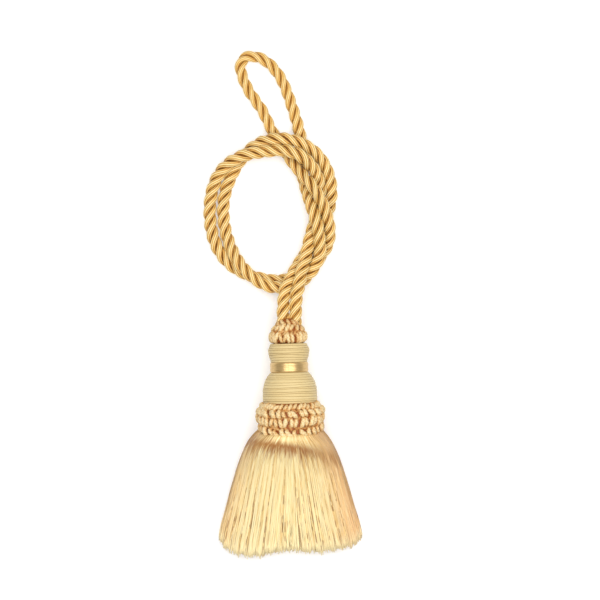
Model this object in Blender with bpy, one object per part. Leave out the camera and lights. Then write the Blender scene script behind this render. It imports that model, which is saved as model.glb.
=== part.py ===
"""A curtain tieback tassel, laid on its back on a table.

One long rope runs out of the tassel's neck, is tied with its own other half in a loose
overhand knot, turns back in a small hanging loop, and returns to the neck beside itself.
The tassel is a stack of turned forms on one axis: a knotted collar, a wound bulb, a satin
band, a wound dome, a wide knotted collar, and the skirt of cut yarn below them.

X runs across the tassel, Y runs up it towards the rope, Z is up.  The table is Z = 0.
Lengths in the tables are millimetres; meshes are built in metres.
"""

import math

import bmesh
import bpy
import numpy as np
from mathutils import Matrix, Vector

MM = 0.001

# ---------------------------------------------------------------- driving dimensions

PIECE_GAP = 0.3          # room left between one piece and the next
CORD_DIAMETER = 8.4      # the three-strand rope
CORD_TUBE_POINTS = 80    # points along the plain tube that stands for the rope
CORD_STRAIGHT = 0.02     # added to the bend (per mm), so straight runs get points too

AXIS_HEIGHT = 27.9       # the head's axis above the table; the wide collar is pressed flat
FOOT_Y = 5.0             # where the wide collar ends and the skirt begins
HEAD_LEAN = 1.6          # degrees the head leans towards -X
LEAN_PIVOT_Y = 18.6      # the wide collar's fattest row, about which it leans

HEAD_STEPS = 48          # facets round a turned piece
SKIRT_STEPS = 152        # facets round the skirt
HEM_TUFTS = 19           # tufts along the cut hem, on top and underneath
TUFT_LENGTH = 1.6        # how far a tuft hangs past the notch beside it
TUFT_SWELL = 0.5         # how far a tuft stands out of the skirt's side

# Turned pieces of the head.  Each row is one ring.
# station: distance up the axis from the wide collar's foot; radius: of that ring.
WIDE_COLLAR = (
    # station, radius
    (0.0, 25.2),
    (1.8, 26.0),
    (5.0, 26.2),
    (8.0, 26.9),
    (10.8, 28.0),
    (13.6, 28.4),
    (16.8, 28.1),
    (20.0, 27.1),
    (22.4, 25.3),
    (24.2, 23.0),
)
DOME = (
    # station, radius
    (24.5, 21.6),
    (29.6, 22.0),
    (34.4, 21.7),
    (39.2, 20.8),
    (43.2, 19.2),
    (46.4, 17.2),
    (48.8, 15.4),
)
SATIN_BAND = (
    # station, radius
    (49.1, 14.5),
    (51.0, 14.9),
    (55.0, 14.9),
    (56.9, 14.5),
)
BULB = (
    # station, radius
    (57.2, 14.2),
    (60.0, 15.0),
    (63.2, 15.8),
    (66.4, 16.4),
    (69.4, 15.5),
    (71.9, 14.3),
)
NECK_COLLAR = (
    # station, radius
    (72.2, 14.4),
    (74.4, 15.2),
    (77.6, 15.4),
    (80.8, 14.6),
    (84.0, 12.9),
    (86.4, 11.2),
    (88.4, 9.8),
)

# The skirt, one row for each section from the collar down to the hem.
# fall: part of a yarn's length, 0 at the collar and 1 at its cut end;
# left, right: the section's sides; height: its crown above the table;
# waist: the height of its widest place; squareness: 2 is an ellipse, more is boxier.
SKIRT = (
    # fall, left, right, height, waist, squareness
    (0.000, -27.4, 25.8, 53.6, 27.2, 2.0),
    (0.028, -30.4, 28.3, 55.2, 25.0, 2.1),
    (0.060, -33.1, 31.3, 54.6, 22.0, 2.2),
    (0.110, -35.7, 34.1, 50.6, 18.0, 2.3),
    (0.185, -38.9, 37.0, 43.6, 14.0, 2.4),
    (0.310, -42.6, 40.8, 35.0, 10.5, 2.5),
    (0.440, -45.8, 44.2, 28.6, 8.5, 2.6),
    (0.570, -48.8, 47.2, 23.8, 7.0, 2.7),
    (0.700, -51.5, 50.3, 20.0, 5.8, 2.8),
    (0.830, -54.5, 53.6, 16.8, 5.0, 2.9),
    (0.930, -56.4, 55.8, 14.4, 4.5, 3.0),
    (1.000, -57.2, 57.0, 11.6, 4.2, 3.0),
)

# How long the yarns are across the skirt.
# across: 0 at the left side and 1 at the right; length: collar to cut end.
YARN_LENGTH = (
    # across, length
    (0.00, 84.0),
    (0.04, 91.5),
    (0.12, 95.8),
    (0.22, 97.6),
    (0.32, 96.2),
    (0.40, 93.2),
    (0.50, 93.0),
    (0.62, 94.4),
    (0.74, 94.6),
    (0.86, 92.4),
    (0.95, 89.4),
    (1.00, 82.0),
)

# The rope's centre line, from the tassel's neck round the knot and the hanging loop and
# back to the neck.  Where it lies on the table its centre is one radius up; where it
# crosses itself it climbs over in a long low hump.
ROUTE = (
    # x, y, z
    # out of the neck, and down under the other half
    (-6.0, 94.2, 27.5),
    (-5.8, 101.0, 27.2),
    (-5.4, 109.0, 25.0),
    (-4.4, 118.0, 22.5),
    (0.5, 129.0, 18.5),
    (5.8, 138.8, 12.0),
    (11.8, 148.2, 6.5),
    (18.8, 157.8, 4.5),
    (25.5, 170.0, 4.5),
    (30.5, 184.0, 4.5),
    (32.5, 198.5, 4.5),
    (29.5, 214.0, 5.0),
    # over the top of the knot
    (21.5, 227.0, 9.0),
    (7.5, 236.5, 14.5),
    (-9.5, 240.0, 14.5),
    (-24.6, 236.6, 9.0),
    (-36.8, 227.2, 4.6),
    # down the left, on the inside
    (-46.2, 212.8, 4.3),
    (-52.6, 195.3, 4.5),
    (-53.3, 174.0, 4.5),
    (-47.2, 152.6, 8.0),
    # over its neighbour and along the bottom, under both halves at the neck
    (-38.8, 138.2, 13.0),
    (-29.1, 128.7, 13.5),
    (-17.5, 122.5, 12.5),
    (-4.0, 121.5, 11.5),
    (8.0, 126.0, 12.0),
    (17.0, 135.0, 13.5),
    # up the right, over the first pass, and in under the top
    (23.0, 146.5, 15.0),
    (23.0, 159.0, 18.5),
    (21.0, 172.0, 20.5),
    (16.6, 186.0, 16.5),
    (12.6, 199.5, 8.0),
    (9.5, 213.0, 5.0),
    (9.5, 228.0, 4.5),
    # the hanging loop
    (7.0, 246.0, 4.5),
    (0.5, 268.0, 4.5),
    (-6.5, 286.0, 4.5),
    (-13.0, 296.0, 4.5),
    (-21.0, 303.0, 4.5),
    (-29.5, 306.0, 4.5),
    (-36.6, 304.7, 4.5),
    (-40.0, 298.4, 4.5),
    (-38.5, 290.0, 4.5),
    (-33.0, 278.0, 4.5),
    (-22.5, 262.5, 4.5),
    (-15.5, 248.0, 4.5),
    (-9.5, 238.0, 4.5),
    # under the top of the knot, and down the right on the outside
    (-1.9, 225.7, 8.5),
    (6.9, 214.1, 15.0),
    (16.6, 202.9, 22.5),
    (24.5, 190.0, 20.5),
    (29.5, 176.5, 15.5),
    (31.0, 163.5, 10.0),
    (27.8, 152.3, 5.5),
    (20.0, 142.0, 4.5),
    # along the bottom, under everything
    (9.5, 133.5, 4.5),
    (-2.0, 128.0, 4.5),
    (-15.0, 127.0, 4.5),
    (-27.5, 129.5, 4.5),
    (-40.2, 134.5, 4.5),
    # up the left, on the outside
    (-50.9, 142.5, 4.5),
    (-60.3, 157.3, 4.5),
    (-64.5, 178.5, 4.5),
    (-62.0, 201.0, 5.0),
    (-55.2, 214.6, 8.6),
    # over the top, inside the first pass
    (-43.8, 223.8, 13.8),
    (-30.6, 228.2, 15.6),
    (-17.4, 230.1, 16.0),
    (-3.5, 230.5, 19.5),
    (8.0, 226.0, 22.0),
    (16.5, 218.0, 16.5),
    (22.0, 207.5, 10.5),
    # down the right, under the second pass, and back to the neck
    (23.5, 195.0, 8.0),
    (21.2, 182.0, 8.7),
    (17.7, 168.5, 11.5),
    (14.5, 156.5, 14.0),
    (12.0, 145.5, 17.0),
    (9.0, 134.5, 22.0),
    (6.8, 124.0, 25.5),
    (4.8, 114.5, 26.4),
    (4.0, 103.0, 27.3),
    (3.8, 94.4, 27.5),
)


# ---------------------------------------------------------------- helpers


def clear_scene():
    """Remove every object that the scene starts with."""
    for thing in list(bpy.data.objects):
        bpy.data.objects.remove(thing, do_unlink=True)


def yarn_material(name, colour, roughness):
    """A plain yarn finish: colour is linear red, green, blue."""
    material = bpy.data.materials.new(name)
    material.use_nodes = True
    shader = material.node_tree.nodes["Principled BSDF"]
    shader.inputs["Base Color"].default_value = (*colour, 1.0)
    shader.inputs["Roughness"].default_value = roughness
    shader.inputs["Metallic"].default_value = 0.0
    return material


def add_object(name, mesh, material, parent=None):
    """Link a mesh into the scene as a named, smooth-shaded piece."""
    mesh.materials.append(material)
    mesh.shade_smooth()
    mesh.set_sharp_from_angle(angle=math.radians(40))
    piece = bpy.data.objects.new(name, mesh)
    piece.parent = parent
    bpy.context.collection.objects.link(piece)
    return piece


def mesh_from_bmesh(name, shape):
    """Recalculate the normals outwards and hand the shape over to a mesh."""
    bmesh.ops.recalc_face_normals(shape, faces=shape.faces)
    mesh = bpy.data.meshes.new(name)
    shape.to_mesh(mesh)
    shape.free()
    return mesh


# ---------------------------------------------------------------- the head


def turned_piece(name, rings, material, parent, press_flat=False):
    """Spin a profile of (station, radius) rings about the head's axis, local +Y.

    The profile starts and ends on the axis, so both ends are closed flat discs.
    A piece that is pressed flat is cut by the table, which leaves its flat spot.
    """
    first_station = rings[0][0]
    last_station = rings[-1][0]
    profile = [(first_station, 0.0), *rings, (last_station, 0.0)]
    shape = bmesh.new()
    corners = [shape.verts.new((radius * MM, station * MM, 0.0)) for station, radius in profile]
    edges = [shape.edges.new(pair) for pair in zip(corners, corners[1:])]
    bmesh.ops.spin(
        shape,
        geom=corners + edges,
        axis=(0.0, 1.0, 0.0),
        cent=(0.0, 0.0, 0.0),
        angle=2.0 * math.pi,
        steps=HEAD_STEPS,
    )
    bmesh.ops.remove_doubles(shape, verts=shape.verts, dist=0.001 * MM)
    if press_flat:
        cut = bmesh.ops.bisect_plane(
            shape,
            geom=shape.verts[:] + shape.edges[:] + shape.faces[:],
            plane_co=(0.0, 0.0, -AXIS_HEIGHT * MM),
            plane_no=(0.0, 0.0, -1.0),
            clear_outer=True,
        )
        rim = [item for item in cut["geom_cut"] if isinstance(item, bmesh.types.BMEdge)]
        bmesh.ops.contextual_create(shape, geom=rim)
    return add_object(name, mesh_from_bmesh(name, shape), material, parent)


def head_frame():
    """The empty that carries the head: its +Y is the head's axis, from the skirt up."""
    frame = bpy.data.objects.new("head_axis", None)
    bpy.context.collection.objects.link(frame)
    pivot = Vector((0.0, LEAN_PIVOT_Y * MM, AXIS_HEIGHT * MM))
    to_foot = Vector((0.0, (FOOT_Y - LEAN_PIVOT_Y) * MM, 0.0))
    lean = Matrix.Rotation(math.radians(HEAD_LEAN), 4, "Z")
    frame.matrix_world = Matrix.Translation(pivot) @ lean @ Matrix.Translation(to_foot)
    return frame


# ---------------------------------------------------------------- the skirt


def skirt_section(fall, steps):
    """Points round one section of the skirt, as an array of x, y, z in millimetres.

    A superellipse between the two sides, with its widest place at the waist.  Whatever
    would reach below the table lies flat on it.  The points of the lower half lie
    under those of the upper half, so the two halves can be joined across.  The first
    section is turned with the leaning collar, and the lean fades towards the hem.
    """
    table = np.array(SKIRT)
    left, right, height, waist, squareness = (
        np.interp(fall, table[:, 0], table[:, column]) for column in range(1, 6)
    )
    turn = np.arange(steps) * 2.0 * math.pi / steps
    power = 2.0 / squareness
    side = np.sign(np.cos(turn)) * np.abs(np.cos(turn)) ** power
    rise = np.sign(np.sin(turn)) * np.abs(np.sin(turn)) ** power
    across = 0.5 * (1.0 + side)
    tuft = np.cos(turn * HEM_TUFTS * 2.0)
    swell = TUFT_SWELL * fall * tuft * np.abs(rise)
    x = 0.5 * (left + right) + 0.5 * (right - left) * side
    z = np.maximum(waist + (height - waist) * rise + swell, 0.0)
    lengths = np.array(YARN_LENGTH)
    length = np.interp(across, lengths[:, 0], lengths[:, 1])
    foot = FOOT_Y + (1.0 - fall) * math.tan(math.radians(HEAD_LEAN)) * x
    y = foot - PIECE_GAP - fall * (length + TUFT_LENGTH * fall * tuft)
    return np.column_stack((x, y, z))


def skirt(material):
    """The skirt of cut yarn: sections joined in order, closed at the collar and the hem."""
    shape = bmesh.new()
    loops = []
    for row in SKIRT:
        points = skirt_section(row[0], SKIRT_STEPS)
        loops.append([shape.verts.new(point * MM) for point in points])
    for upper, lower in zip(loops, loops[1:]):
        for here in range(SKIRT_STEPS):
            after = (here + 1) % SKIRT_STEPS
            shape.faces.new((upper[here], upper[after], lower[after], lower[here]))
    half = SKIRT_STEPS // 2
    for loop in (loops[0], loops[-1]):
        for here in range(half):
            corners = (loop[here], loop[here + 1], loop[-here - 1], loop[-here])
            distinct = list(dict.fromkeys(corners))
            shape.faces.new(distinct)
    return add_object("skirt", mesh_from_bmesh("skirt", shape), material)


# ---------------------------------------------------------------- the rope


def smooth_route(knots, positions):
    """The natural cubic spline through the knots, read at positions from 0 to 1.

    The spline's parameter is the distance between knots as seen from above, so the
    heights don't change how it runs in plan.  No point lies lower than one radius.
    """
    steps = np.linalg.norm(np.diff(knots[:, :2], axis=0), axis=1)
    at = np.concatenate(([0.0], np.cumsum(steps)))
    count = len(knots)
    system = np.eye(count)
    target = np.zeros_like(knots)
    for i in range(1, count - 1):
        before, after = steps[i - 1], steps[i]
        system[i, i - 1 : i + 2] = before, 2.0 * (before + after), after
        slope_after = (knots[i + 1] - knots[i]) / after
        slope_before = (knots[i] - knots[i - 1]) / before
        target[i] = 6.0 * (slope_after - slope_before)
    bend = np.linalg.solve(system, target)
    reach = np.asarray(positions) * at[-1]
    span = np.clip(np.searchsorted(at, reach, side="right") - 1, 0, count - 2)
    width = steps[span][:, None]
    far = ((reach - at[span]) / steps[span])[:, None]
    near = 1.0 - far
    curve = near * knots[span] + far * knots[span + 1]
    curve += (near**3 - near) * width**2 / 6.0 * bend[span]
    curve += (far**3 - far) * width**2 / 6.0 * bend[span + 1]
    curve[:, 2] = np.maximum(curve[:, 2], CORD_DIAMETER / 2.0)
    return curve


def tube_points():
    """Points along the rope for its plain tube, closer together where it bends more."""
    knots = np.array(ROUTE)
    fine = np.linspace(0.0, 1.0, 4001)
    curve = smooth_route(knots, fine)
    chords = np.diff(curve, axis=0)
    lengths = np.linalg.norm(chords, axis=1)
    directions = chords / lengths[:, None]
    turning = np.linalg.norm(np.diff(directions, axis=0), axis=1)
    bend = np.concatenate(([0.0], turning)) / lengths
    along = np.concatenate(([0.0], np.cumsum(lengths * np.sqrt(CORD_STRAIGHT + bend))))
    wanted = np.linspace(0.0, along[-1], CORD_TUBE_POINTS)
    return smooth_route(knots, np.interp(wanted, along, fine))


def rope(material):
    """The rope's plain tube: a poly curve with a round bevel and filled caps."""
    points = tube_points() * MM
    curve = bpy.data.curves.new("cord", "CURVE")
    curve.dimensions = "3D"
    curve.bevel_depth = CORD_DIAMETER / 2.0 * MM
    curve.bevel_resolution = 3
    curve.use_fill_caps = True
    curve.twist_mode = "MINIMUM"
    spline = curve.splines.new("POLY")
    spline.points.add(len(points) - 1)
    for place, point in zip(spline.points, points):
        place.co = (*point, 1.0)
    curve.materials.append(material)
    piece = bpy.data.objects.new("cord", curve)
    bpy.context.collection.objects.link(piece)
    return piece


# ---------------------------------------------------------------- the whole tassel


def build():
    """Make every piece of the tieback."""
    clear_scene()
    rope_yarn = yarn_material("rope_yarn", (0.78, 0.52, 0.22), 0.45)
    wound_yarn = yarn_material("wound_yarn", (0.70, 0.54, 0.28), 0.50)
    satin_yarn = yarn_material("satin_yarn", (0.74, 0.52, 0.24), 0.30)
    knotted_yarn = yarn_material("knotted_yarn", (0.80, 0.56, 0.30), 0.55)
    skirt_yarn = yarn_material("skirt_yarn", (0.86, 0.68, 0.34), 0.42)

    axis = head_frame()
    turned_piece("wide_collar", WIDE_COLLAR, knotted_yarn, axis, press_flat=True)
    turned_piece("dome", DOME, wound_yarn, axis)
    turned_piece("satin_band", SATIN_BAND, satin_yarn, axis)
    turned_piece("bulb", BULB, wound_yarn, axis)
    turned_piece("neck_collar", NECK_COLLAR, knotted_yarn, axis)
    skirt(skirt_yarn)
    rope(rope_yarn)


build()
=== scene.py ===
# %% [markdown]
# # A curtain tieback tassel
#
# A tieback holds a curtain open.  One long silky rope is knotted with itself, and both
# its ends go into the neck of a tassel.  The tassel is a stack of yarn work on one axis:
# a knotted collar, a bulb wound with thread, a satin band, a wound dome, a wide knotted
# collar, and a skirt of cut yarn.  Everything here is soft, and it lies on a table.
#
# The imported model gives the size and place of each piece.  Here each piece is made again
# as yarn, around the same shape.  Lengths are millimetres until a mesh is filled.

import bpy
import numpy as np
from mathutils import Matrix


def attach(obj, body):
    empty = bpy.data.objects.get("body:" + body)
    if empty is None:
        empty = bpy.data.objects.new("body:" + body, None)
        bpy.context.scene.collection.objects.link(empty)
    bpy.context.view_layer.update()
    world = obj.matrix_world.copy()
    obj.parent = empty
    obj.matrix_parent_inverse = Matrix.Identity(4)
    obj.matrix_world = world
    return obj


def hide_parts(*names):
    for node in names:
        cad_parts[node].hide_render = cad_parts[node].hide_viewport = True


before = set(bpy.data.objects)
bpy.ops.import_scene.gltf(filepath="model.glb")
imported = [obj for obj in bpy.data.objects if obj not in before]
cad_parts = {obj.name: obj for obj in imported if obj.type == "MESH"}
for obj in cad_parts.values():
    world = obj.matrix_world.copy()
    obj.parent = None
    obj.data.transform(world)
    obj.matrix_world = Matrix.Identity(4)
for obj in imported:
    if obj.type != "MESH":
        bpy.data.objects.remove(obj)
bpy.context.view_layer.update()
print("pieces to make again:", ", ".join(sorted(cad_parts)))

# %% [markdown]
# ## Measures
#
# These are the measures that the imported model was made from.  The head leans a little
# to the left, as a soft thing laid down by hand does, so its pieces are worked out
# upright on their own axis and then turned about the fattest row of the wide collar.

# %% The head's axis and the table
MM = 0.001
AXIS_HEIGHT = 27.9       # the head's axis above the table
FOOT_Y = 5.0             # where the wide collar ends and the skirt begins
HEAD_LEAN = 1.6          # degrees towards -X
LEAN_PIVOT_Y = 18.6      # the wide collar's fattest row
SEED = 20                # for every random draw down to the collars
FULL_TURN = 2.0 * np.pi
HEAD_LOWEST = 0.05       # what would reach lower is pressed flat on the table

rng = np.random.default_rng(SEED)
print(f"the head's axis is {AXIS_HEIGHT} mm up and leans {HEAD_LEAN} degrees")


def on_head(out, station, turn):
    """Points on the leaning head, from cylinder measures.

    out is the distance from the axis, station the distance up it from the wide
    collar's foot, and turn the angle round it from the top of the piece (+Z) to +X.
    Point = pivot + turned by the lean (out sin turn, station + foot - pivot, out cos turn).
    """
    side = out * np.sin(turn)
    along = station + FOOT_Y - LEAN_PIVOT_Y
    lean = np.radians(HEAD_LEAN)
    x = side * np.cos(lean) - along * np.sin(lean)
    y = side * np.sin(lean) + along * np.cos(lean) + LEAN_PIVOT_Y
    z = AXIS_HEIGHT + out * np.cos(turn)
    return np.stack(np.broadcast_arrays(x, y, np.maximum(z, HEAD_LOWEST)), axis=-1)


# %% [markdown]
# ## Surfaces from arrays
#
# Yarn is a tube along a path, and a wound form is a ring carried along an axis.  Both
# are grids of points whose rows close into rings, so one function makes the faces of
# any number of them at once, with a fan at each end so that every piece is closed.

# %% Faces and meshes


def unit(vectors):
    """Each vector divided by its own length."""
    return vectors / np.linalg.norm(vectors, axis=-1, keepdims=True)


def smooth_step(low, high, value):
    """0 below low, 1 above high, and 3t^2 - 2t^3 between them."""
    share = np.clip((value - low) / (high - low), 0.0, 1.0)
    return share * share * (3.0 - 2.0 * share)


def ring_faces(tubes, stations, around):
    """Quads of closed rings, and the fans that close both ends of each tube.

    Points are numbered tube by tube, ring by ring, and the two end poles of every
    tube come after all the rings.  Faces point outwards where the rings run from
    up to across and the tube runs along across x up.
    """
    number = np.arange(tubes * stations * around).reshape(tubes, stations, around)
    after = np.roll(number, -1, axis=2)
    quads = np.stack((number[:, :-1], after[:, :-1], after[:, 1:], number[:, 1:]), axis=-1)
    poles = number.size + np.arange(2 * tubes).reshape(2, tubes, 1)
    first = np.broadcast_to(poles[0], (tubes, around))
    last = np.broadcast_to(poles[1], (tubes, around))
    start_fan = np.stack((first, after[:, 0], number[:, 0]), axis=-1)
    end_fan = np.stack((last, number[:, -1], after[:, -1]), axis=-1)
    fans = np.concatenate((start_fan.reshape(-1, 3), end_fan.reshape(-1, 3)))
    return quads.reshape(-1, 4), fans


def with_poles(rings, values):
    """All ring points and then the pole at each end, and the same for their values.

    A pole is the mean of its ring, so the ends are closed where the tube stops.
    """
    ends = [rings[:, 0].mean(axis=1), rings[:, -1].mean(axis=1)]
    points = np.concatenate([rings.reshape(-1, 3), *ends])
    shape = rings.shape[:3]
    filled = {}
    for name, value in values.items():
        whole = np.broadcast_to(value, shape)
        both = [whole[:, 0].mean(axis=1), whole[:, -1].mean(axis=1)]
        filled[name] = np.concatenate([whole.reshape(-1), *both])
    return points, filled


def yarn_piece(name, rings, material, values):
    """A piece from one array of rings, tube by tube: points in mm, values per point."""
    points, filled = with_poles(rings, values)
    quads, fans = ring_faces(*rings.shape[:3])
    corners = np.concatenate((quads.ravel(), fans.ravel())).astype(np.int32)
    starts = np.concatenate((4 * np.arange(len(quads)), quads.size + 3 * np.arange(len(fans))))
    mesh = bpy.data.meshes.new(name)
    mesh.vertices.add(len(points))
    mesh.vertices.foreach_set("co", (points * MM).astype(np.float32).ravel())
    mesh.loops.add(len(corners))
    mesh.loops.foreach_set("vertex_index", corners)
    mesh.polygons.add(len(starts))
    mesh.polygons.foreach_set("loop_start", starts.astype(np.int32))
    mesh.update(calc_edges=True)
    for key, value in filled.items():
        layer = mesh.attributes.new(key, "FLOAT", "POINT")
        layer.data.foreach_set("value", value.astype(np.float32))
    mesh.shade_smooth()
    mesh.materials.append(material)
    piece = bpy.data.objects.new(name, mesh)
    bpy.context.scene.collection.objects.link(piece)
    triangles = 2 * len(quads) + len(fans)
    print(f"{name}: {rings.shape[0]} tubes, {triangles} triangles")
    return piece


def place_piece(piece, slot, *nodes):
    """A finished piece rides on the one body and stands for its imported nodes."""
    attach(piece, "root")
    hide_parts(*nodes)
    return piece


# %% [markdown]
# ## Finishes
#
# Rayon yarn is smooth, silky and a little see-through, so it glows where fibres lie
# open to the light and goes deep brown in the gaps.  Each finish is the same Principled
# shader with its own colours, read from values that the meshes carry.  Sums on those
# values are written as plain expressions, through one small class.

# %% A finish and the amounts in it


class Amount:
    """A number that changes over the surface, with arithmetic that adds Math nodes."""

    def __init__(self, finish, socket):
        self.finish = finish
        self.socket = socket

    def _with(self, operation, *others):
        """The amount that a Math node makes of others."""
        node = self.finish.node("ShaderNodeMath", {"operation": operation}, dict(enumerate(others)))
        return Amount(self.finish, node.outputs[0])

    def __add__(self, other):
        return self._with("ADD", self, other)

    def __sub__(self, other):
        return self._with("SUBTRACT", self, other)

    def __rsub__(self, other):
        return self._with("SUBTRACT", other, self)

    def __mul__(self, other):
        return self._with("MULTIPLY", self, other)

    __radd__ = __add__
    __rmul__ = __mul__

    def between(self, low, high):
        """0 up to low, 1 from high on, eased between; low may be the greater one."""
        node = self.finish.node(
            "ShaderNodeMapRange",
            {"interpolation_type": "SMOOTHSTEP"},
            {"Value": self, "From Min": low, "From Max": high},
        )
        return Amount(self.finish, node.outputs["Result"])


MIX_FIRST, MIX_SECOND = 6, 7    # the Mix node's colour inputs, by number
MIX_RESULT = 2                  # and its colour output


class Finish:
    """A material with a Principled shader, and the nodes that feed it."""

    def __init__(self, name, **constants):
        self.material = bpy.data.materials.new(name)
        self.material.use_nodes = True
        self.tree = self.material.node_tree
        self.shader = self.tree.nodes["Principled BSDF"]
        for socket, value in constants.items():
            self.shader.inputs[socket.replace("_", " ")].default_value = value

    def node(self, kind, settings, inputs):
        """A node of this kind, with its settings set and then its sockets filled."""
        made = self.tree.nodes.new(kind)
        for key, value in settings.items():
            if key == "stops":
                ramp = made.color_ramp
                while len(ramp.elements) < len(value):
                    ramp.elements.new(1.0)
                for element, (place, colour) in zip(ramp.elements, value):
                    element.position = place
                    element.color = (*colour, 1.0)
            else:
                setattr(made, key, value)
        for key, value in inputs.items():
            self.fill(made.inputs[key], value)
        return made

    def fill(self, socket, value):
        """Link or set one socket."""
        if isinstance(value, Amount):
            value = value.socket
        if isinstance(value, bpy.types.NodeSocket):
            self.tree.links.new(value, socket)
        else:
            socket.default_value = value

    def carried(self, name):
        """A value that the mesh carries."""
        node = self.node("ShaderNodeAttribute", {"attribute_name": name}, {})
        return Amount(self, node.outputs["Fac"])

    def noise(self, place, scale, detail=2.0):
        """Soft random lumps, from 0 to 1, at a place."""
        inputs = {"Vector": place, "Scale": scale, "Detail": detail}
        return Amount(self, self.node("ShaderNodeTexNoise", {}, inputs).outputs[0])

    def place(self, x, y, z):
        """Three amounts as one place for a texture."""
        return self.node("ShaderNodeCombineXYZ", {}, {"X": x, "Y": y, "Z": z}).outputs[0]

    def object_place(self):
        """Each point's own place in the piece, in metres."""
        return self.node("ShaderNodeTexCoord", {}, {}).outputs["Object"]

    def ramp(self, amount, stops):
        """Colours at places from 0 to 1, blended between."""
        return self.node("ShaderNodeValToRGB", {"stops": stops}, {"Fac": amount}).outputs["Color"]

    def mix(self, share, first, second):
        """The colour first, and share of the way from it to the fixed colour second."""
        node = self.node("ShaderNodeMix", {"data_type": "RGBA"}, {"Factor": share})
        self.fill(node.inputs[MIX_FIRST], first)
        self.fill(node.inputs[MIX_SECOND], (*second, 1.0))
        return node.outputs[MIX_RESULT]

    def bump(self, height, depth):
        """Fine relief on top of the mesh: height in shares of depth, in metres."""
        node = self.node("ShaderNodeBump", {}, {"Height": height, "Distance": depth})
        self.fill(self.shader.inputs["Normal"], node.outputs["Normal"])

    def colour(self, colour):
        """The shader's base colour."""
        self.fill(self.shader.inputs["Base Color"], colour)

    def roughness(self, amount):
        """The shader's roughness."""
        self.fill(self.shader.inputs["Roughness"], amount)

# %% [markdown]
# ## The camera
#
# The tassel is seen from straight above with a long lens, so that nothing in it looks
# bigger for being higher.  The lens follows from the height and the width to be seen.

# %% Camera
CAMERA_HEIGHT = 3.6      # metres above the table
VIEW_WIDTH = 0.48        # metres of table across the view
VIEW_CENTRE = (0.0075, 0.1114)  # the point of the table in the view's middle

camera_data = bpy.data.cameras.new("camera")
camera_data.lens = camera_data.sensor_width * CAMERA_HEIGHT / VIEW_WIDTH
camera = bpy.data.objects.new("camera", camera_data)
camera.location = (*VIEW_CENTRE, CAMERA_HEIGHT)
bpy.context.scene.collection.objects.link(camera)
bpy.context.scene.camera = camera
print(f"lens {camera_data.lens:.0f} mm")

# %% [markdown]
# ## The rope's route
#
# One rope leaves the neck, passes round the knot twice on each side, makes the small
# hanging loop at the far end, and comes back beside itself.  A bent wire would be made
# of lines and arcs; rope isn't like that, so a natural cubic spline runs through
# points laid along it.  Where the rope lies on the table its centre is one radius up,
# and where it crosses itself it climbs over in a long low hump.

# %% Route
CORD_LOWEST = 4.2        # its centre's least height above the table

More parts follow.
